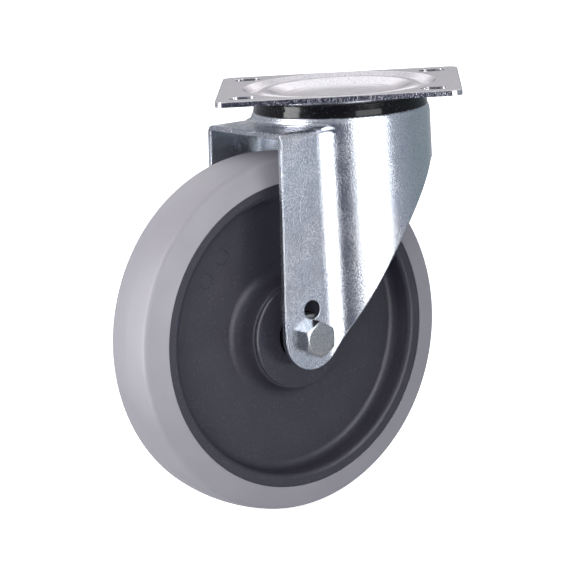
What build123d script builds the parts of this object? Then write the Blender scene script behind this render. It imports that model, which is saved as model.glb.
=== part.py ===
from build123d import *
from math import cos, sin, radians, sqrt
import os

# Swivel castor wheel with a bolt-on top plate, 200 mm wheel, 232 mm overall height.
# Row frame: origin at the centre of the top plate's upper face, on the swivel axis,
# +Z up, X along the plate's long side, Y along its short side.

# ---------------------------------------------------------------- driving sizes, mm
PLATE_X, PLATE_Y, SHEET = 135.0, 110.0, 3.0
PLATE_CORNER = 6.0
SLOT_DX, SLOT_DY = 105.0, 80.0          # slot centres
SLOT_W, SLOT_L = 11.0, 15.0             # for M10
DISH_R, VALLEY_R, VALLEY_Z = 54.5, 50.2, -2.6
CREST_Z, FLOOR_R, FLOOR_Z = -1.175, 31.0, -4.0

YAW = 37.28                             # rest heading of the fork about +Z
TRAIL = 52.35                           # axle set back from the swivel axis
AXLE_Z = -131.76                        # axle height below the plate's top face
WHEEL_R = 100.0

HEAD_R = 50.0                           # fork head and skirt, outside
HEAD_TOP, ARM_TOP = -12.6, -17.5        # upper faces of the head and of the arms
LEG_Y = 35.0                            # outside face of each leg
BEND = 4.5                              # outside bend radius
FLARE_R = 19.5                          # legs flare out into the skirt
FORK_LOW = -152.0
LOBE_R = 17.6
AXLE_HOLE_R, SPARE_HOLE_R, SPARE_HOLE_UP = 6.25, 5.25, 15.8

RACE_R, RACE_BALL, RACE_COUNT = 42.0, 9.525, 26       # upper ball race
RACE_GROOVE, RACE_DEPTH, RUN = 5.0, 1.2, 0.05
LOW_R, LOW_BALL, LOW_COUNT = 21.0, 6.35, 18           # lower ball race
LOW_GROOVE, LOW_DEPTH = 3.35, 0.8
KING_R, KING_THREAD_R, KING_HEAD_R = 7.0, 6.0, 13.0

BOLT_R, BOLT_AF, BOLT_HEAD_H, BOLT_L = 6.0, 18.0, 7.5, 85.0   # M12 x 85
NUT_H = 12.0
TUBE_R, TUBE_BORE = 10.0, 6.25
SPACER_R = 13.0
BRG_R, BRG_W, BRG_IN = 23.5, 14.0, 5.0  # 20 x 47 x 14 bearing, inner face at y = 5
BRG_BALL, BRG_PITCH, BRG_COUNT = 7.938, 16.75, 8
BRG_INNER_R, BRG_OUTER_R = 14.4, 19.1   # shoulders

HUB_R, HUB_FACE = 30.5, 20.5
GUARD_R, GUARD_FACE = 29.6, 22.5
WEB = 7.0                               # half thickness of the web
RIM_IN, RIM_WEB, RIM_R, RIM_FACE = 78.5, 77.2, 85.5, 20.13
TYRE_BASE = 20.5                        # half width of the tyre at the rim
MARK_R, MARK_D = 61.3, 8.5

# ---------------------------------------------------------------- planes and axes
FX = Vector(cos(radians(YAW)), sin(radians(YAW)), 0)
FY = Vector(-sin(radians(YAW)), cos(radians(YAW)), 0)
AXLE = Vector(0, 0, AXLE_Z) - FX * TRAIL
FORK = Plane(origin=(0, 0, 0), x_dir=FX, z_dir=(0, 0, 1))          # plan, local x to the rear
SIDE = Plane(origin=(0, 0, 0), x_dir=FX, z_dir=-FY)                # side view, local y up
SECTION = Plane(origin=AXLE, x_dir=FY, z_dir=FX)                   # axial, radial
WHEEL = Plane(origin=AXLE, x_dir=FX, z_dir=-FY)                    # looking at the near face
AXIS = Axis(AXLE, FY)
FORE = Axis((0, 0, 0), FX)


def along(y):
    """Plane square to the axle at the signed distance y from the wheel's middle."""
    return Plane(origin=AXLE + FY * y, x_dir=FX, z_dir=FY)


# ================================================================ top plate group
with BuildPart() as top_plate:
    with BuildSketch():
        RectangleRounded(PLATE_X, PLATE_Y, PLATE_CORNER)
    extrude(amount=-SHEET)
    fillet(top_plate.faces().sort_by(Axis.Z)[-1].edges(), 0.6)
    # the pressed dish: cut a round window, then fill it with the formed section
    with BuildSketch():
        Circle(DISH_R)
    extrude(amount=-SHEET, mode=Mode.SUBTRACT)
    with BuildSketch(Plane.XZ):
        with BuildLine():
            groove_z = CREST_Z - SHEET - RACE_GROOVE
            half = sqrt(RACE_GROOVE**2 - (-5.45 - groove_z) ** 2)
            FilletPolyline(
                (DISH_R, 0),
                (DISH_R - 0.6, 0),
                (VALLEY_R, VALLEY_Z),
                (RACE_R + 4.6, -2.3),
                (RACE_R + 1.6, CREST_Z),
                (RACE_R - 1.8, CREST_Z),
                (FLOOR_R, FLOOR_Z),
                (12.0, FLOOR_Z),
                radius=0.55,
            )
            Line((12.0, FLOOR_Z), (0, FLOOR_Z))
            Line((0, FLOOR_Z), (0, FLOOR_Z - SHEET))
            Line((0, FLOOR_Z - SHEET), (FLOOR_R + 0.9, FLOOR_Z - SHEET))
            Line((FLOOR_R + 0.9, FLOOR_Z - SHEET), (RACE_R - half, -5.45))
            ThreePointArc((RACE_R - half, -5.45), (RACE_R, CREST_Z - SHEET), (RACE_R + half, -5.45))
            Line((RACE_R + half, -5.45), (VALLEY_R + 1.2, -5.45))
            Line((VALLEY_R + 1.2, -5.45), (DISH_R, -SHEET - 0.35))
            Line((DISH_R, -SHEET - 0.35), (DISH_R, 0))
        make_face()
    revolve(axis=Axis.Z)
    # slotted bolt holes
    with BuildSketch(Plane.XY.offset(1)):
        with GridLocations(SLOT_DX, SLOT_DY, 2, 2):
            SlotOverall(SLOT_L, SLOT_W)
    extrude(amount=-8, mode=Mode.SUBTRACT)
    # countersunk hole for the kingpin
    with BuildSketch(Plane.XZ):
        with BuildLine():
            Polyline(
                (0, FLOOR_Z + 1), (KING_HEAD_R, FLOOR_Z + 1), (KING_HEAD_R, FLOOR_Z),
                (KING_R, FLOOR_Z - SHEET), (KING_R, FLOOR_Z - SHEET - 1), (0, FLOOR_Z - SHEET - 1),
                close=True,
            )
        make_face()
    revolve(axis=Axis.Z, mode=Mode.SUBTRACT)

# ball positions of the two races
up_ball = HEAD_TOP - RACE_DEPTH + RUN + RACE_BALL / 2
head_under = HEAD_TOP - SHEET
low_ball = head_under + LOW_DEPTH - RUN - LOW_BALL / 2
cup_top = low_ball - LOW_BALL / 2 - RUN + LOW_DEPTH
cup_low = cup_top - SHEET

with BuildPart() as kingpin:
    with BuildSketch(Plane.XZ):
        with BuildLine():
            Polyline(
                (0, FLOOR_Z), (KING_HEAD_R, FLOOR_Z), (KING_R, FLOOR_Z - SHEET), (KING_R, cup_top),
                (KING_THREAD_R, cup_top), (KING_THREAD_R, cup_low - 11.6), (KING_THREAD_R - 0.9, cup_low - 12.5),
                (0, cup_low - 12.5), close=True,
            )
        make_face()
    revolve(axis=Axis.Z)

with BuildPart() as lower_race_cup:
    with BuildSketch(Plane.XZ):
        with BuildLine():
            low_c = low_ball - LOW_BALL / 2 - RUN + LOW_GROOVE
            lw = sqrt(LOW_GROOVE**2 - (low_c - cup_top) ** 2)
            Line((KING_THREAD_R, cup_top), (LOW_R - lw, cup_top))
            ThreePointArc((LOW_R - lw, cup_top), (LOW_R, low_c - LOW_GROOVE), (LOW_R + lw, cup_top))
            Polyline((LOW_R + lw, cup_top), (25.2, cup_top), (25.2, cup_top + 3.2), (27.2, cup_top + 3.2))
            FilletPolyline((27.2, cup_top + 3.2), (27.2, cup_low - 0.6), (17.2, cup_low - 0.6),
                           (15.8, cup_low), (KING_THREAD_R, cup_low), radius=0.6)
            Line((KING_THREAD_R, cup_low), (KING_THREAD_R, cup_top))
        make_face()
    revolve(axis=Axis.Z)
    fillet(lower_race_cup.edges().filter_by(GeomType.CIRCLE).group_by(Axis.Z)[-1], 0.6)

with BuildPart() as kingpin_nut:
    with BuildSketch(Plane.XY.offset(cup_low)):
        RegularPolygon(BOLT_AF / sqrt(3), 6)
    extrude(amount=-10)
    with BuildSketch(Plane.XZ):      # turned corners
        with BuildLine():
            Polyline((0, cup_low), (9.6, cup_low), (10.6, cup_low - 0.6), (10.6, cup_low - 9.2),
                     (9.2, cup_low - 10), (0, cup_low - 10), close=True)
        make_face()
    revolve(axis=Axis.Z, mode=Mode.INTERSECT)
    with Locations((0, 0, cup_low - 5)):
        Hole(KING_THREAD_R)

with BuildPart(Plane.XY.offset(up_ball)) as upper_race_balls:
    with PolarLocations(RACE_R, RACE_COUNT):
        Sphere(RACE_BALL / 2)

with BuildPart(Plane.XY.offset(low_ball)) as lower_race_balls:
    with PolarLocations(LOW_R, LOW_COUNT):
        Sphere(LOW_BALL / 2)

with BuildPart() as dust_seal:
    with BuildSketch(Plane.XZ):
        with BuildLine():
            Polyline(
                (47.0, HEAD_TOP), (48.65, HEAD_TOP), (48.85, HEAD_TOP + 0.25), (48.5, -9.4), (48.9, -6.3),
                (48.6, -5.65), (46.4, -5.65), (46.4, -6.35), (47.0, -6.7), close=True,
            )
        make_face()
    revolve(axis=Axis.Z)

# ================================================================ fork
flare_x = sqrt((HEAD_R + FLARE_R) ** 2 - (LEG_Y + FLARE_R) ** 2)      # centre of the flare arcs
FRONT = -84.0


def plan(t):
    """Key points of the fork's plan outline, moved inwards by t: skirt radius, leg y, flare radius, joint."""
    k = (HEAD_R - t) / (HEAD_R + FLARE_R)
    return HEAD_R - t, LEG_Y - t, FLARE_R + t, -flare_x * k, (LEG_Y + FLARE_R) * k


# smooth run-out from the arms up to the head, kept within the arms' outline
with BuildPart() as run_out:
    with BuildSketch(FORK.offset(ARM_TOP + 3)):
        with BuildLine():
            r, y, f, jx, jy = plan(0)
            Line((FRONT, -y), (-flare_x, -y))
            RadiusArc((-flare_x, -y), (jx, -jy), f)
            ThreePointArc((jx, -jy), (r, 0), (jx, jy))
            RadiusArc((jx, jy), (-flare_x, y), f)
            Line((-flare_x, y), (FRONT, y))
            Line((FRONT, y), (FRONT, -y))
        make_face()
    extrude(amount=-12)
    fillet(run_out.faces().sort_by(Axis.Z)[-1].edges().sort_by(FORE)[1:], BEND)
    with BuildSketch(Plane.XZ):
        with BuildLine():
            Line((HEAD_R, ARM_TOP + 3), (HEAD_R - 1.5, ARM_TOP + 3))
            Line((HEAD_R - 1.5, ARM_TOP + 3), (HEAD_R - 1.5, ARM_TOP - 1))
            Line((HEAD_R - 1.5, ARM_TOP - 1), (HEAD_R + 3, ARM_TOP - 1))
            Line((HEAD_R + 3, ARM_TOP - 1), (HEAD_R + 3, ARM_TOP))
            RadiusArc((HEAD_R + 3, ARM_TOP), (HEAD_R, ARM_TOP + 3), 3)
        make_face()
    revolve(axis=Axis.Z, mode=Mode.INTERSECT)

with BuildPart() as swivel_fork:
    # arms and skirt as a solid block, top edge bent over
    with BuildSketch(FORK.offset(ARM_TOP)):
        with BuildLine():
            r, y, f, jx, jy = plan(0)
            Line((FRONT, -y), (-flare_x, -y))
            RadiusArc((-flare_x, -y), (jx, -jy), f)
            ThreePointArc((jx, -jy), (r, 0), (jx, jy))
            RadiusArc((jx, jy), (-flare_x, y), f)
            Line((-flare_x, y), (FRONT, y))
            Line((FRONT, y), (FRONT, -y))
        make_face()
    extrude(amount=FORK_LOW - ARM_TOP)
    fillet(swivel_fork.faces().sort_by(Axis.Z)[-1].edges().sort_by(FORE)[1:], BEND)
    # round head, drawn up above the arms
    with BuildSketch(Plane.XZ):
        with BuildLine():
            Line((0, FORK_LOW), (HEAD_R, FORK_LOW))
            Line((HEAD_R, FORK_LOW), (HEAD_R, -17.4))
            TangentArc((HEAD_R, -17.4), (HEAD_R - 0.65, -13.4), tangent=(0, 1))
            ThreePointArc((HEAD_R - 0.65, -13.4), (HEAD_R - 0.95, -12.82), (HEAD_R - 1.5, HEAD_TOP))
            Line((HEAD_R - 1.5, HEAD_TOP), (0, HEAD_TOP))
            Line((0, HEAD_TOP), (0, FORK_LOW))
        make_face()
    revolve(axis=Axis.Z)
    # hollow it out to sheet thickness
    with BuildSketch(FORK.offset(ARM_TOP - SHEET)):
        with BuildLine():
            r, y, f, jx, jy = plan(SHEET)
            Line((FRONT, -y), (-flare_x, -y))
            RadiusArc((-flare_x, -y), (jx, -jy), f)
            ThreePointArc((jx, -jy), (r, 0), (jx, jy))
            RadiusArc((jx, jy), (-flare_x, y), f)
            Line((-flare_x, y), (FRONT, y))
            Line((FRONT, y), (FRONT, -y))
        make_face()
    extrude(amount=FORK_LOW - ARM_TOP, mode=Mode.SUBTRACT)
    with BuildSketch(Plane.XZ):
        with BuildLine():
            Polyline((0, FORK_LOW - 1), (HEAD_R - SHEET, FORK_LOW - 1), (HEAD_R - SHEET, head_under - 1.2),
                     (HEAD_R - SHEET - 1.2, head_under), (0, head_under), close=True)
        make_face()
    revolve(axis=Axis.Z, mode=Mode.SUBTRACT)
    add(run_out.part)
    # side outline: slanted front edge, rounded foot round the axle, long edge rising to the skirt
    with BuildSketch(SIDE):
        with BuildLine():
            cx, cz, R = -52.9, -131.6, LOBE_R
            ang = radians(-33)
            foot = (cx + R * cos(ang), cz + R * sin(ang))
            knee = (-10.0, foot[1] + (-10.0 - foot[0]) * 1.54)
            top = (32.0, -44.9)
            Line((-66.4, -5), (-66.4, -17))
            Line((-66.4, -17), (-70.3, -112))
            TangentArc((-70.3, -112), (cx - R, cz + 0.5), tangent=(-0.04, -1))
            ThreePointArc((cx - R, cz + 0.5), (cx - R * sin(radians(40)), cz - R * cos(radians(40))), foot)
            Line(foot, knee)
            TangentArc(knee, top, tangent=(1, 1.54))
            ThreePointArc(top, (34.4, -43.4), (37.6, -42.9))
            Polyline((37.6, -42.9), (60, -42.2), (60, -5), (-66.4, -5))
        make_face()
    extrude(amount=70, both=True, mode=Mode.INTERSECT)
    # ball tracks, upper on top of the head and lower underneath, and the clearance hole for the kingpin
    with BuildSketch(Plane.XZ):
        with Locations((RACE_R, HEAD_TOP - RACE_DEPTH + RACE_GROOVE)):
            Circle(RACE_GROOVE)
        with Locations((LOW_R, head_under + LOW_DEPTH - LOW_GROOVE)):
            Circle(LOW_GROOVE)
        with Locations((7, -15)):
            Rectangle(14, 12)
    revolve(axis=Axis.Z, mode=Mode.SUBTRACT)
    # axle holes and the spare holes above them
    with BuildSketch(SIDE):
        with Locations((-TRAIL, AXLE_Z)):
            Circle(AXLE_HOLE_R)
        with Locations((-TRAIL, AXLE_Z + SPARE_HOLE_UP)):
            Circle(SPARE_HOLE_R)
    extrude(amount=70, both=True, mode=Mode.SUBTRACT)

# ================================================================ axle group, rides on the fork
HEX_AXIS = Plane(origin=AXLE - FY * LEG_Y, x_dir=(0, 0, 1), z_dir=-FY)       # outside of the near leg
NUT_AXIS = Plane(origin=AXLE + FY * LEG_Y, x_dir=(0, 0, 1), z_dir=FY)        # outside of the far leg

with BuildPart() as axle_bolt:
    with BuildSketch(HEX_AXIS):
        RegularPolygon(BOLT_AF / sqrt(3), 6)
    extrude(amount=BOLT_HEAD_H)
    with BuildSketch(SECTION):       # turned corners of the head
        with BuildLine():
            y0, y1 = -LEG_Y, -LEG_Y - BOLT_HEAD_H
            Polyline((y0, 0), (y0, 11), (y1 + 1.3, 11), (y1, 8.4), (y1, 0), close=True)
        make_face()
    revolve(axis=AXIS, mode=Mode.INTERSECT)
    with BuildSketch(SECTION):       # shank, slightly domed thread end
        with BuildLine():
            y0, y1 = -LEG_Y, -LEG_Y + BOLT_L
            Polyline((y0, 0), (y0, BOLT_R), (y1 - 1.0, BOLT_R), (y1, BOLT_R - 1.0), (y1, 0), close=True)
        make_face()
    revolve(axis=AXIS)

with BuildPart() as axle_nut:
    with BuildSketch(NUT_AXIS):
        RegularPolygon(BOLT_AF / sqrt(3), 6)
    extrude(amount=9.5)
    with BuildSketch(SECTION):
        with BuildLine():
            y0, y1 = LEG_Y, LEG_Y + 9.5
            Polyline((y0, 0), (y0, 9.4), (y0 + 0.8, 10.6), (y1 - 0.8, 10.6), (y1, 9.2), (y1, 0), close=True)
        make_face()
    revolve(axis=AXIS, mode=Mode.INTERSECT)
    with BuildSketch(SECTION):       # collar that holds the locking ring
        with BuildLine():
            y0, y1 = LEG_Y + 9.5, LEG_Y + NUT_H
            Polyline((y0, 0), (y0, 8.7), (y1 - 0.6, 8.7), (y1, 8.0), (y1, 0), close=True)
        make_face()
    revolve(axis=AXIS)
    with BuildSketch(SECTION):
        with BuildLine():
            y0, y1 = LEG_Y - 1, LEG_Y + NUT_H
            Polyline((y0, 0), (y0, BOLT_R), (y1 - 2.8, BOLT_R), (y1 - 2.8, 7.6), (y1 - 0.3, 7.6), (y1 - 0.3, 7.2),
                     (y1 + 1, 7.2), (y1 + 1, 0), close=True)
        make_face()
    revolve(axis=AXIS, mode=Mode.SUBTRACT)

with BuildPart() as nut_locking_ring:
    with BuildSketch(SECTION):
        with BuildLine():
            y1 = LEG_Y + NUT_H
            Polyline((y1 - 2.8, BOLT_R), (y1 - 2.8, 7.6), (y1 - 0.3, 7.6), (y1 - 0.3, BOLT_R), close=True)
        make_face()
    revolve(axis=AXIS)

with BuildPart(along(-(LEG_Y - SHEET))) as axle_tube:
    Cylinder(TUBE_R, 2 * (LEG_Y - SHEET), align=(Align.CENTER, Align.CENTER, Align.MIN))
    Cylinder(TUBE_BORE, 2 * (LEG_Y - SHEET), align=(Align.CENTER, Align.CENTER, Align.MIN), mode=Mode.SUBTRACT)

with BuildPart(along(-BRG_IN)) as centre_spacer:
    Cylinder(SPACER_R, 2 * BRG_IN, align=(Align.CENTER, Align.CENTER, Align.MIN))
    Cylinder(TUBE_R, 2 * BRG_IN, align=(Align.CENTER, Align.CENTER, Align.MIN), mode=Mode.SUBTRACT)

BRG_OUT = BRG_IN + BRG_W
END_L = LEG_Y - SHEET - BRG_OUT
with BuildPart(along(-(LEG_Y - SHEET))) as end_spacer_near:
    Cylinder(SPACER_R, END_L, align=(Align.CENTER, Align.CENTER, Align.MIN))
    Cylinder(TUBE_R, END_L, align=(Align.CENTER, Align.CENTER, Align.MIN), mode=Mode.SUBTRACT)
    chamfer(end_spacer_near.edges().filter_by(GeomType.CIRCLE).sort_by(SortBy.RADIUS)[-2:], 0.5)

with BuildPart(along(BRG_OUT)) as end_spacer_far:
    Cylinder(SPACER_R, END_L, align=(Align.CENTER, Align.CENTER, Align.MIN))
    Cylinder(TUBE_R, END_L, align=(Align.CENTER, Align.CENTER, Align.MIN), mode=Mode.SUBTRACT)
    chamfer(end_spacer_far.edges().filter_by(GeomType.CIRCLE).sort_by(SortBy.RADIUS)[-2:], 0.5)

# ================================================================ wheel group
BRG_MID = BRG_IN + BRG_W / 2
GROOVE = BRG_BALL / 2 + 0.15        # track radius


def bearing_parts(side):
    """One 20 x 47 x 14 deep-groove bearing at y = side * BRG_MID: outer ring, inner ring, balls, cage, shields."""
    mid = side * BRG_MID
    a, b = mid - BRG_W / 2, mid + BRG_W / 2
    track_out = BRG_PITCH + BRG_BALL / 2 + 0.02 - GROOVE       # centre radius of the outer track's arc
    track_in = BRG_PITCH - BRG_BALL / 2 - 0.02 + GROOVE
    with BuildPart() as outer:
        with BuildSketch(SECTION):
            with BuildLine():
                Polyline((a, BRG_OUTER_R), (a, BRG_R - 0.7), (a + 0.7, BRG_R), (b - 0.7, BRG_R), (b, BRG_R - 0.7),
                         (b, BRG_OUTER_R), close=True)
            make_face()
            with Locations((mid, track_out)):
                Circle(GROOVE, mode=Mode.SUBTRACT)
        revolve(axis=AXIS)
    with BuildPart() as inner:
        with BuildSketch(SECTION):
            with BuildLine():
                Polyline((a, TUBE_R + 0.6), (a, BRG_INNER_R), (b, BRG_INNER_R), (b, TUBE_R + 0.6),
                         (b - 0.6, TUBE_R), (a + 0.6, TUBE_R), close=True)
            make_face()
            with Locations((mid, track_in)):
                Circle(GROOVE, mode=Mode.SUBTRACT)
        revolve(axis=AXIS)
    with BuildPart(along(mid)) as balls:
        with PolarLocations(BRG_PITCH, BRG_COUNT):
            Sphere(BRG_BALL / 2)
    with BuildPart(along(mid)) as cage:
        Cylinder(BRG_PITCH + 0.9, 9.6)
        Cylinder(BRG_PITCH - 0.9, 9.6, mode=Mode.SUBTRACT)
        with PolarLocations(BRG_PITCH, BRG_COUNT):
            Cylinder(BRG_BALL / 2 + 0.12, 6, rotation=(0, 90, 0), mode=Mode.SUBTRACT)
    with BuildPart() as shields:
        with BuildSketch(SECTION):
            with Locations((a + 0.75, (BRG_INNER_R + 0.15 + BRG_OUTER_R) / 2), (b - 0.75, (BRG_INNER_R + 0.15 + BRG_OUTER_R) / 2)):
                Rectangle(0.5, BRG_OUTER_R - BRG_INNER_R - 0.15)
        revolve(axis=AXIS)
    return outer, inner, balls, cage, shields


near = bearing_parts(-1)
far = bearing_parts(1)

with BuildPart() as wheel_core:
    with BuildSketch(SECTION):
        with BuildLine():
            # far half, from the hub bore out to the rim
            FilletPolyline(
                (0, BRG_R - 3), (BRG_IN, BRG_R - 3), (BRG_IN, BRG_R), (HUB_FACE, BRG_R), (HUB_FACE, HUB_R),
                (WEB, HUB_R + 0.8), (WEB, RIM_WEB), (RIM_FACE, RIM_IN), (RIM_FACE, RIM_R), (10.0, RIM_R),
                (8.4, RIM_R + 3.4), (0, RIM_R + 3.4),
                radius=[0.3, 0.3, 0.4, 1.2, 6.5, 4.5, 2.8, 0.4, 0.4, 0.6],
            )
            Line((0, RIM_R + 3.4), (0, BRG_R - 3))
        make_face()
        mirror(about=Plane.YZ)
    revolve(axis=AXIS)

    # two shallow round moulding marks on the near side of the web
    with BuildSketch(WHEEL.offset(WEB)):
        for angle in (129, 144):
            with Locations((MARK_R * cos(radians(angle)), MARK_R * sin(radians(angle)))):
                Circle(MARK_D / 2)
    extrude(amount=-0.5, mode=Mode.SUBTRACT)

with BuildPart() as tyre:
    with BuildSketch(SECTION):
        with BuildLine():
            # inner side, moulded onto the rim and over its central rib
            FilletPolyline((RIM_FACE - 0.45, RIM_R), (10.0, RIM_R), (8.4, RIM_R + 3.4), (0, RIM_R + 3.4), radius=[0.4, 0.6])
            # flank, rounded shoulder and slightly crowned tread
            Line((RIM_FACE - 0.45, RIM_R), (TYRE_BASE, RIM_R))
            Line((TYRE_BASE, RIM_R), (17.1, WHEEL_R - 3.68))
            TangentArc((14.2, WHEEL_R - 1.17), (17.1, WHEEL_R - 3.68), tangent=(0.987, -0.163))
            ThreePointArc((14.2, WHEEL_R - 1.17), (7.1, WHEEL_R - 0.293), (0, WHEEL_R))
            Line((0, WHEEL_R), (0, RIM_R + 3.4))
        make_face()
        mirror(about=Plane.YZ)
    revolve(axis=AXIS)

with BuildPart() as thread_guard_near:
    with BuildSketch(SECTION):
        with BuildLine():
            FilletPolyline(
                (-HUB_FACE, 13.6), (-GUARD_FACE, 13.6), (-GUARD_FACE, GUARD_R), (-HUB_FACE, GUARD_R),
                radius=[0.4, 1.1],
            )
            Polyline((-HUB_FACE, GUARD_R), (-HUB_FACE, BRG_R), (-BRG_OUT, BRG_R), (-BRG_OUT, BRG_R - 2.6),
                     (-HUB_FACE, BRG_R - 2.6), (-HUB_FACE, 13.6))
        make_face()
    revolve(axis=AXIS)

with BuildPart() as thread_guard_far:
    with BuildSketch(SECTION):
        with BuildLine():
            FilletPolyline(
                (HUB_FACE, 13.6), (GUARD_FACE, 13.6), (GUARD_FACE, GUARD_R), (HUB_FACE, GUARD_R),
                radius=[0.4, 1.1],
            )
            Polyline((HUB_FACE, GUARD_R), (HUB_FACE, BRG_R), (BRG_OUT, BRG_R), (BRG_OUT, BRG_R - 2.6),
                     (HUB_FACE, BRG_R - 2.6), (HUB_FACE, 13.6))
        make_face()
    revolve(axis=AXIS)

PARTS = {
    "top_plate": top_plate, "kingpin": kingpin, "lower_race_cup": lower_race_cup, "kingpin_nut": kingpin_nut,
    "upper_race_balls": upper_race_balls, "lower_race_balls": lower_race_balls, "dust_seal": dust_seal,
    "swivel_fork": swivel_fork, "axle_bolt": axle_bolt, "axle_nut": axle_nut, "nut_locking_ring": nut_locking_ring,
    "axle_tube": axle_tube, "centre_spacer": centre_spacer, "end_spacer_near": end_spacer_near,
    "end_spacer_far": end_spacer_far, "wheel_core": wheel_core, "tyre": tyre,
    "thread_guard_near": thread_guard_near, "thread_guard_far": thread_guard_far,
}
for side, group in (("near", near), ("far", far)):
    for kind, piece in zip(("outer_ring", "inner_ring", "balls", "cage", "shields"), group):
        PARTS["bearing_" + kind + "_" + side] = piece
os.makedirs("parts", exist_ok=True)
for name, piece in PARTS.items():
    piece.part.label = name
    export_step(piece.part, "parts/" + name + ".step")
    print(name, len(piece.part.solids()), round(piece.part.volume), piece.part.is_valid)
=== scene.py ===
import math

import bpy
from mathutils import Matrix, Vector


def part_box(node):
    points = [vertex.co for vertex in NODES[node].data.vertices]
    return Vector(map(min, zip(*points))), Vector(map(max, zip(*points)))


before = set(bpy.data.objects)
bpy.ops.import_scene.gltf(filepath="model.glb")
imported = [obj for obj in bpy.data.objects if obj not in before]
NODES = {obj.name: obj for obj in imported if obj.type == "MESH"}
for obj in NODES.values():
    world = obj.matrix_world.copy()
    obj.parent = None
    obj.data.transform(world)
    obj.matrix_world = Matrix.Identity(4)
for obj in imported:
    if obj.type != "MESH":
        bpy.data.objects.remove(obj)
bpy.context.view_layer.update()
scene = bpy.context.scene

# ------------------------------------------------------------------ camera
CAM = Vector((0.025929, -1.720594, 0.216274))
RIGHT = Vector((0.998118, 0.024572, -0.056187))
UP = Vector((0.050504, 0.190352, 0.980416))
AHEAD = Vector((-0.034786, 0.981408, -0.188753))
cam_data = bpy.data.cameras.new("camera")
cam_data.sensor_width = 36.0
cam_data.lens = 193.446
cam_data.clip_start = 0.05
cam_data.clip_end = 50.0
camera = bpy.data.objects.new("camera", cam_data)
scene.collection.objects.link(camera)
rot = Matrix((RIGHT, UP, -AHEAD)).transposed().to_4x4()
camera.matrix_world = Matrix.Translation(CAM) @ rot
scene.camera = camera

scene.view_settings.view_transform = "Standard"
scene.view_settings.look = "None"
scene.view_settings.exposure = 0.0
scene.view_settings.gamma = 1.0
scene.cycles.use_denoising = True
scene.cycles.max_bounces = 8
scene.cycles.sample_clamp_indirect = 6.0

# ------------------------------------------------------------------ where the fork and the wheel are
YAW = math.radians(37.28)
FX = Vector((math.cos(YAW), math.sin(YAW), 0.0))
FY = Vector((-math.sin(YAW), math.cos(YAW), 0.0))
lo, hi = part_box("axle_tube")
AXLE = (lo + hi) / 2
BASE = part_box("tyre")[0].z


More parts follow.
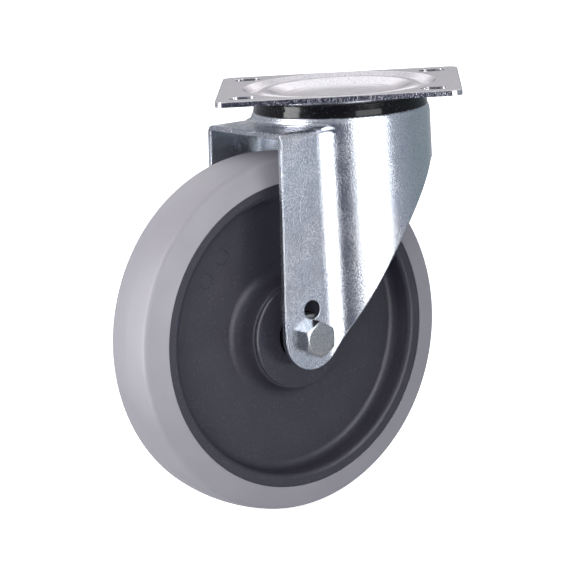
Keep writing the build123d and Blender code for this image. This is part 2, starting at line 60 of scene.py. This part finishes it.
# ------------------------------------------------------------------ node helpers
class Mat:
    """A Principled material with a small vocabulary of procedural nodes, all in the row frame's object coordinates."""

    def __init__(self, name):
        self.m = bpy.data.materials.new(name)
        self.m.use_nodes = True
        self.t = self.m.node_tree
        self.t.nodes.clear()
        self.out = self.t.nodes.new("ShaderNodeOutputMaterial")
        self.p = self.t.nodes.new("ShaderNodeBsdfPrincipled")
        self.t.links.new(self.p.outputs[0], self.out.inputs[0])
        self.pos = self.t.nodes.new("ShaderNodeTexCoord").outputs["Object"]
        self.geo = self.t.nodes.new("ShaderNodeNewGeometry")

    def link(self, a, b):
        if isinstance(a, (int, float)):
            b.default_value = a
        elif isinstance(a, tuple):
            b.default_value = a if len(a) == len(b.default_value) else tuple(a) + (1.0,)
        else:
            self.t.links.new(a, b)

    def set(self, **kw):
        for k, v in kw.items():
            self.link(v, self.p.inputs[k.replace("_", " ")])
        return self

    def math(self, op, a, b=0.0, c=0.0, clamp=False):
        n = self.t.nodes.new("ShaderNodeMath")
        n.operation = op
        n.use_clamp = clamp
        self.link(a, n.inputs[0])
        self.link(b, n.inputs[1])
        if op in ("MULTIPLY_ADD", "COMPARE", "SMOOTH_MIN", "SMOOTH_MAX"):
            self.link(c, n.inputs[2])
        return n.outputs[0]

    def dot(self, a, v):
        n = self.t.nodes.new("ShaderNodeVectorMath")
        n.operation = "DOT_PRODUCT"
        self.link(a, n.inputs[0])
        self.link(tuple(v), n.inputs[1])
        return n.outputs["Value"]

    def offset(self, v):
        n = self.t.nodes.new("ShaderNodeVectorMath")
        n.operation = "SUBTRACT"
        self.link(self.pos, n.inputs[0])
        self.link(tuple(v), n.inputs[1])
        return n.outputs[0]

    def length(self, a):
        n = self.t.nodes.new("ShaderNodeVectorMath")
        n.operation = "LENGTH"
        self.link(a, n.inputs[0])
        return n.outputs["Value"]

    def combine(self, x, y, z):
        n = self.t.nodes.new("ShaderNodeCombineXYZ")
        self.link(x, n.inputs[0])
        self.link(y, n.inputs[1])
        self.link(z, n.inputs[2])
        return n.outputs[0]

    def local(self, ex, ey, ez, origin=(0, 0, 0)):
        """Object position in a turned frame: ex, ey, ez are its axes."""
        o = self.offset(origin)
        return self.combine(self.dot(o, ex), self.dot(o, ey), self.dot(o, ez))

    def scaled(self, vec, s):
        n = self.t.nodes.new("ShaderNodeMapping")
        self.link(vec, n.inputs["Vector"])
        n.inputs["Scale"].default_value = s
        return n.outputs[0]

    def noise(self, scale, detail=2.0, rough=0.5, vec=None, distort=0.0):
        n = self.t.nodes.new("ShaderNodeTexNoise")
        n.noise_dimensions = "3D"
        self.link(self.pos if vec is None else vec, n.inputs["Vector"])
        n.inputs["Scale"].default_value = scale
        n.inputs["Detail"].default_value = detail
        n.inputs["Roughness"].default_value = rough
        n.inputs["Distortion"].default_value = distort
        return n.outputs[0]

    def voronoi(self, scale, feature="F1", vec=None, output="Distance"):
        n = self.t.nodes.new("ShaderNodeTexVoronoi")
        n.feature = feature
        self.link(self.pos if vec is None else vec, n.inputs["Vector"])
        n.inputs["Scale"].default_value = scale
        return n.outputs[output]

    def range(self, a, f0, f1, t0=0.0, t1=1.0, smooth=True):
        n = self.t.nodes.new("ShaderNodeMapRange")
        n.interpolation_type = "SMOOTHSTEP" if smooth else "LINEAR"
        self.link(a, n.inputs[0])
        for i, v in enumerate((f0, f1, t0, t1)):
            n.inputs[i + 1].default_value = v
        return n.outputs[0]

    def mix(self, f, a, b):
        n = self.t.nodes.new("ShaderNodeMix")
        n.data_type = "RGBA"
        self.link(f, n.inputs[0])
        self.link(a, n.inputs[6])
        self.link(b, n.inputs[7])
        return n.outputs[2]

    def lerp(self, f, a, b):
        n = self.t.nodes.new("ShaderNodeMix")
        n.data_type = "FLOAT"
        self.link(f, n.inputs[0])
        self.link(a, n.inputs[2])
        self.link(b, n.inputs[3])
        return n.outputs[0]

    def bevel(self, radius, samples=4):
        n = self.t.nodes.new("ShaderNodeBevel")
        n.samples = samples
        n.inputs["Radius"].default_value = radius
        return n.outputs[0]

    def bump(self, height, dist, strength=1.0, normal=None):
        n = self.t.nodes.new("ShaderNodeBump")
        self.link(strength, n.inputs["Strength"])
        n.inputs["Distance"].default_value = dist
        self.link(height, n.inputs["Height"])
        if normal is not None:
            self.link(normal, n.inputs["Normal"])
        return n.outputs[0]


def assign(mat, *names):
    for n in names:
        o = NODES[n]
        if not o.data.materials:
            o.data.materials.append(mat.m)
        for s in o.material_slots:
            s.material = mat.m
        for p in o.data.polygons:
            p.material_index = 0


# ------------------------------------------------------------------ zinc-plated sheet
def zinc(name, tint=(0.56, 0.60, 0.66), warm=(0.63, 0.635, 0.665), rough=0.23, grain=1.0, edge=None, bevel=0.0005, fleck=1.0, bore_dull_and_shade=None):
    m = Mat(name)
    cloud = m.noise(19.0, 2.0, 0.5)
    fine = m.noise(1250.0, 2.0, 0.6)
    speck = m.noise(1500.0, 2.0, 0.7)
    colour = m.mix(m.range(cloud, 0.36, 0.66), tint + (1,), warm + (1,))
    colour = m.mix(m.math("MULTIPLY", m.range(speck, 0.50, 0.68), 0.42 * fleck), colour, (0.86, 0.87, 0.92, 1))
    colour = m.mix(m.math("MULTIPLY", m.range(fine, 0.50, 0.30), 0.60 * fleck), colour, (0.24, 0.26, 0.35, 1))
    r = m.math("ADD", m.range(m.noise(70.0, 2.0, 0.5), 0.3, 0.7, rough - 0.02, rough + 0.03),
               m.range(speck, 0.3, 0.7, -0.03, 0.04))
    n0 = m.bevel(bevel)
    n1 = m.bump(fine, 0.00011, 0.95 * grain, n0)
    if edge is not None:
        f, smooth = edge(m)
        streak_v = m.scaled(m.pos, (1.0, 1.0, 0.35))
        streak = m.noise(2300.0, 2.0, 0.7, vec=streak_v)
        burr = m.mix(m.range(streak, 0.48, 0.64), (0.13, 0.135, 0.18, 1), (0.56, 0.56, 0.60, 1))
        colour = m.mix(m.math("MULTIPLY", f, smooth), colour, burr)
        n1 = m.bump(m.math("MULTIPLY", streak, m.math("MULTIPLY", f, smooth)), 0.00018, 0.7, n1)
    if bore_dull_and_shade is not None:
        f = bore_dull_and_shade(m)
        # painted shade: the hole walls get a near-black colour, and the added roughness below makes them dull
        colour = m.mix(m.math("MULTIPLY", f, 0.85), colour, (0.10, 0.105, 0.115, 1))
        r = m.math("ADD", r, m.math("MULTIPLY", f, 0.25))
    m.set(Base_Color=colour, Metallic=1.0, Roughness=r, Normal=n1)
    return m


def punched_hole_dull_and_shade(m):
    # the punched walls of the spare holes in the legs are rougher than the drawn faces round them, and their colour is
    # darkened as painted shade inside the holes
    x = m.math("ADD", m.dot(m.pos, FX), 0.05235)
    z = m.math("ADD", m.dot(m.pos, (0, 0, 1)), 0.11596)
    d = m.math("SQRT", m.math("ADD", m.math("MULTIPLY", x, x), m.math("MULTIPLY", z, z)))
    wall = m.range(m.math("ABSOLUTE", m.dot(m.geo.outputs["True Normal"], FY)), 0.75, 0.35)
    return m.math("MULTIPLY", m.range(d, 0.0066, 0.0058), wall, clamp=True)


def plate_edge(m):
    nz = m.math("ABSOLUTE", m.dot(m.geo.outputs["True Normal"], (0, 0, 1)))
    side = m.range(nz, 0.80, 0.55)
    # only the sheared outline: the flanks of the dish lie inside it, the rounded corners stay smooth
    x = m.math("ABSOLUTE", m.dot(m.pos, (1, 0, 0)))
    y = m.math("ABSOLUTE", m.dot(m.pos, (0, 1, 0)))
    rim = m.math("MAXIMUM", m.range(x, 0.0655, 0.0667), m.range(y, 0.0530, 0.0542))
    corner = m.math("MULTIPLY", m.range(x, 0.0590, 0.0630), m.range(y, 0.0465, 0.0500))
    return m.math("MULTIPLY", side, rim, clamp=True), m.math("SUBTRACT", 1.0, corner)


def fork_edge(m):
    x = m.dot(m.pos, FX)
    z = m.dot(m.pos, (0, 0, 1))
    n = m.geo.outputs["True Normal"]
    front = m.math("MULTIPLY", m.range(x, -0.0645, -0.0658), m.range(m.dot(n, FX), -0.6, -0.8))
    return m.math("MULTIPLY", front, m.range(z, -0.0300, -0.0215), clamp=True), 0.75


zinc_plate = zinc("zinc_plate", tint=(0.60, 0.60, 0.62), warm=(0.66, 0.635, 0.655), rough=0.12, grain=0.22, edge=plate_edge)
zinc_fork = zinc("zinc_fork", edge=fork_edge, bevel=0.0011, bore_dull_and_shade=punched_hole_dull_and_shade)
zinc_bolt = zinc("zinc_fastener", tint=(0.34, 0.365, 0.385), warm=(0.41, 0.395, 0.385), rough=0.27, grain=0.6, bevel=0.0007, fleck=0.35)
zinc_hidden = zinc("zinc_inner", rough=0.34)

assign(zinc_plate, "top_plate", "kingpin")
assign(zinc_fork, "swivel_fork")
assign(zinc_bolt, "axle_bolt", "axle_nut", "kingpin_nut")
assign(zinc_hidden, "lower_race_cup")

# ------------------------------------------------------------------ turned and ground steel
steel = Mat("drawn_steel")
rings = steel.local(FX, FY, (0, 0, 1), AXLE)
along = steel.dot(steel.offset(AXLE), FY)
lathe = steel.noise(1.0, 2.0, 0.5, vec=steel.combine(steel.math("MULTIPLY", along, 5200.0), 0.0, 0.0))
steel.set(Base_Color=steel.mix(steel.noise(240.0, 3.0), (0.22, 0.225, 0.235, 1), (0.32, 0.32, 0.33, 1)), Metallic=1.0,
          Roughness=steel.range(lathe, 0.3, 0.7, 0.26, 0.40),
          Normal=steel.bump(lathe, 0.00002, 0.5, steel.bevel(0.0003)))
assign(steel, "axle_tube", "centre_spacer", "end_spacer_near", "end_spacer_far", "bearing_cage_near", "bearing_cage_far")

ground = Mat("ground_steel")
ground.set(Base_Color=ground.mix(ground.noise(400.0, 2.0), (0.60, 0.60, 0.62, 1), (0.68, 0.68, 0.70, 1)), Metallic=1.0,
           Roughness=ground.range(ground.noise(900.0, 2.0), 0.3, 0.7, 0.12, 0.20),
           Normal=ground.bump(ground.noise(2400.0, 1.0), 0.000008, 0.5, ground.bevel(0.0003)))
assign(ground, "upper_race_balls", "lower_race_balls", "bearing_balls_near", "bearing_balls_far",
       "bearing_outer_ring_near", "bearing_outer_ring_far", "bearing_inner_ring_near", "bearing_inner_ring_far")


# ------------------------------------------------------------------ moulded plastics and rubber
def plastic(name, dark, light, rough, bevel=0.0004, orange=0.35, spec=0.5):
    m = Mat(name)
    flow = m.noise(22.0, 3.0, 0.55, distort=0.6)
    fleck = m.noise(760.0, 2.0, 0.6)
    colour = m.mix(m.range(flow, 0.3, 0.7), dark + (1,), light + (1,))
    colour = m.mix(m.math("MULTIPLY", m.range(fleck, 0.55, 0.75), 0.10), colour, (0.30, 0.30, 0.33, 1))
    r = m.math("ADD", m.range(m.noise(60.0, 3.0, 0.6), 0.3, 0.7, rough - 0.04, rough + 0.05),
               m.range(fleck, 0.3, 0.7, -0.015, 0.02))
    skin = m.noise(1100.0, 2.0, 0.5)
    n = m.bump(skin, 0.00003, orange, m.bevel(bevel))
    n = m.bump(m.noise(70.0, 2.0, 0.5), 0.00025, 0.10, n)
    m.set(Base_Color=colour, Roughness=r, Normal=n, Specular_IOR_Level=spec)
    return m


core = plastic("core_polypropylene", (0.048, 0.046, 0.062), (0.056, 0.053, 0.072), 0.38, spec=0.26)
assign(core, "wheel_core")
guard = plastic("guard_polypropylene", (0.046, 0.044, 0.060), (0.055, 0.052, 0.070), 0.15, bevel=0.0011)
assign(guard, "thread_guard_near", "thread_guard_far")
seal = plastic("seal_gloss", (0.0045, 0.0045, 0.006), (0.007, 0.007, 0.009), 0.10, orange=0.12, spec=0.2)
assign(seal, "dust_seal")
black_rubber = plastic("bearing_seal_rubber", (0.012, 0.012, 0.012), (0.018, 0.018, 0.018), 0.5)
assign(black_rubber, "bearing_shields_near", "bearing_shields_far")
nylon = plastic("nylon", (0.66, 0.69, 0.74), (0.74, 0.76, 0.80), 0.35)
nylon.set(Subsurface_Weight=0.2, Subsurface_Scale=0.001)
assign(nylon, "nut_locking_ring")

tyre = Mat("tyre_rubber")
flow = tyre.noise(16.0, 3.0, 0.5, distort=0.8)
pore = tyre.noise(1300.0, 2.0, 0.6)
smudge = tyre.noise(42.0, 4.0, 0.62)
colour = tyre.mix(tyre.range(flow, 0.3, 0.7), (0.345, 0.328, 0.362, 1), (0.375, 0.358, 0.390, 1))
colour = tyre.mix(tyre.math("MULTIPLY", tyre.range(smudge, 0.60, 0.78), 0.15), colour, (0.27, 0.258, 0.285, 1))
colour = tyre.mix(tyre.math("MULTIPLY", tyre.range(pore, 0.58, 0.78), 0.10), colour, (0.50, 0.49, 0.52, 1))
# moulding line round the middle of the tread
y_axle = tyre.math("ABSOLUTE", tyre.dot(tyre.offset(AXLE), FY))
seam = tyre.range(y_axle, 0.0005, 0.00015)
tyre_n = tyre.bump(pore, 0.00003, 0.45, tyre.bevel(0.0004))
tyre_n = tyre.bump(tyre.noise(120.0, 3.0, 0.5), 0.00012, 0.20, tyre_n)
tyre_n = tyre.bump(seam, 0.00012, 0.5, tyre_n)
tyre.set(Base_Color=colour, Roughness=tyre.range(smudge, 0.3, 0.7, 0.46, 0.58), Normal=tyre_n,
         Specular_IOR_Level=0.45, Sheen_Weight=0.08, Sheen_Roughness=0.6)
assign(tyre, "tyre")

# ------------------------------------------------------------------ floor, world, lights
bpy.ops.mesh.primitive_plane_add(size=16.0, location=(0, 2.0, BASE))
floor = bpy.context.object
floor.name = "floor"
fm = Mat("floor_paper")
fm.set(Base_Color=fm.mix(fm.noise(3.0, 2.0), (0.86, 0.86, 0.87, 1), (0.88, 0.88, 0.885, 1)), Roughness=0.9,
       Specular_IOR_Level=0.1, Emission_Color=(1, 1, 1, 1), Emission_Strength=0.85)
floor.data.materials.append(fm.m)
floor.visible_glossy = False
floor.visible_diffuse = False
floor.visible_shadow = False

world = bpy.data.worlds.new("studio")
scene.world = world
world.use_nodes = True
wt = world.node_tree
wt.nodes.clear()
w_out = wt.nodes.new("ShaderNodeOutputWorld")
tc = wt.nodes.new("ShaderNodeTexCoord")


def w_dot(v):
    n = wt.nodes.new("ShaderNodeVectorMath")
    n.operation = "DOT_PRODUCT"
    wt.links.new(tc.outputs["Generated"], n.inputs[0])
    n.inputs[1].default_value = v
    return n.outputs["Value"]


def w_range(a, f0, f1, t0=0.0, t1=1.0):
    n = wt.nodes.new("ShaderNodeMapRange")
    n.interpolation_type = "SMOOTHSTEP"
    wt.links.new(a, n.inputs[0])
    for i, v in enumerate((f0, f1, t0, t1)):
        n.inputs[i + 1].default_value = v
    return n.outputs[0]


def w_mix(f, a, b):
    n = wt.nodes.new("ShaderNodeMix")
    n.data_type = "RGBA"
    wt.links.new(f, n.inputs[0])
    for i, v in ((6, a), (7, b)):
        if isinstance(v, tuple):
            n.inputs[i].default_value = v
        else:
            wt.links.new(v, n.inputs[i])
    return n.outputs[2]


AZ0 = math.radians(2.03)


def toward(deg, elev=0.0):
    """Unit vector at an azimuth counted from the camera's side towards its right."""
    a, e = math.radians(deg) + AZ0, math.radians(elev)
    return Vector((math.sin(a) * math.cos(e), -math.cos(a) * math.cos(e), math.sin(e)))


SKY, GROUND = (0.50, 0.51, 0.54, 1), (0.50, 0.52, 0.56, 1)
ZENITH = (1.15, 1.13, 1.16, 1)
BACK, SIDE_GREY, SIDE_TEAL, FRONT_DARK = (0.75, 0.705, 0.735, 1), (0.41, 0.435, 0.49, 1), (0.32, 0.375, 0.405, 1), (0.10, 0.105, 0.15, 1)
studio = w_mix(w_range(w_dot((0, 0, 1)), -0.25, 0.35), GROUND, SKY)
studio = w_mix(w_range(w_dot((0, 0.42, 0.907)), 0.78, 0.95), studio, ZENITH)
wall = w_mix(w_range(w_dot((0, 0, 1)), 0.03, 0.175), (0.13, 0.20, 0.22, 1), BACK)
wall = w_mix(w_range(w_dot((0, 0, 1)), 0.215, 0.40), wall, (1.40, 1.38, 1.40, 1))
studio = w_mix(w_range(w_dot(toward(180, 22)), 0.80, 0.93), studio, wall)
studio = w_mix(w_range(w_dot(toward(76, -9)), 0.80, 0.95), studio, SIDE_GREY)
studio = w_mix(w_range(w_dot(toward(122, -9)), 0.80, 0.92), studio, SIDE_TEAL)
studio = w_mix(w_range(w_dot(toward(-18, -12)), 0.84, 0.93), studio, FRONT_DARK)
bg_light = wt.nodes.new("ShaderNodeBackground")
wt.links.new(studio, bg_light.inputs[0])
path = wt.nodes.new("ShaderNodeLightPath")
level = wt.nodes.new("ShaderNodeMix")
level.data_type = "FLOAT"
wt.links.new(path.outputs["Is Diffuse Ray"], level.inputs[0])
level.inputs[2].default_value = 1.0
level.inputs[3].default_value = 1.02
wt.links.new(level.outputs[0], bg_light.inputs[1])
bg_seen = wt.nodes.new("ShaderNodeBackground")
bg_seen.inputs[0].default_value = (0.97, 0.97, 0.975, 1)
bg_seen.inputs[1].default_value = 1.0
pick = wt.nodes.new("ShaderNodeMixShader")
wt.links.new(path.outputs["Is Camera Ray"], pick.inputs[0])
wt.links.new(bg_light.outputs[0], pick.inputs[1])
wt.links.new(bg_seen.outputs[0], pick.inputs[2])
wt.links.new(pick.outputs[0], w_out.inputs[0])


def softbox(name, deg, dist, width, z0, z1, power, gloss=None, colour=(1, 1, 1)):
    """An upright light panel; the mirror image of the panel may be set apart from the light it gives."""
    for part, level in (("light", power), ("mirror", gloss)):
        d = bpy.data.lights.new(name + "_" + part, "AREA")
        d.shape = "RECTANGLE"
        d.size, d.size_y = width, z1 - z0
        d.energy = level
        d.color = colour
        o = bpy.data.objects.new(name + "_" + part, d)
        scene.collection.objects.link(o)
        v = toward(deg)
        z = (z0 + z1) / 2
        away = dist if part == "mirror" else dist * 1.06
        o.location = Vector((v.x * away, v.y * away, z))
        o.rotation_euler = (Vector((0, 0, z)) - o.location).to_track_quat("-Z", "Y").to_euler()
        o.visible_camera = False
        o.visible_diffuse = part == "light"
        o.visible_glossy = part == "mirror"


softbox("right", 35.5, 1.30, 0.80, -0.47, 1.0, 1.5, 20.0)
softbox("left", -68.5, 1.30, 0.53, -0.62, 0.85, 6.5, 34.0)


def fill(name, deg, elev, dist, w, h, power):
    """A broad diffuse light that leaves no mirror image of its own."""
    d = bpy.data.lights.new(name, "AREA")
    d.shape = "RECTANGLE"
    d.size, d.size_y = w, h
    d.energy = power
    o = bpy.data.objects.new(name, d)
    scene.collection.objects.link(o)
    o.location = toward(deg, elev) * dist
    o.rotation_euler = (Vector((0, 0, -0.08)) - o.location).to_track_quat("-Z", "Y").to_euler()
    o.visible_camera = False
    o.visible_glossy = False


fill("front_left", -18, 2, 1.5, 0.8, 0.6, 9.5)
fill("overhead", -15, 55, 1.5, 0.9, 0.7, 1.0)
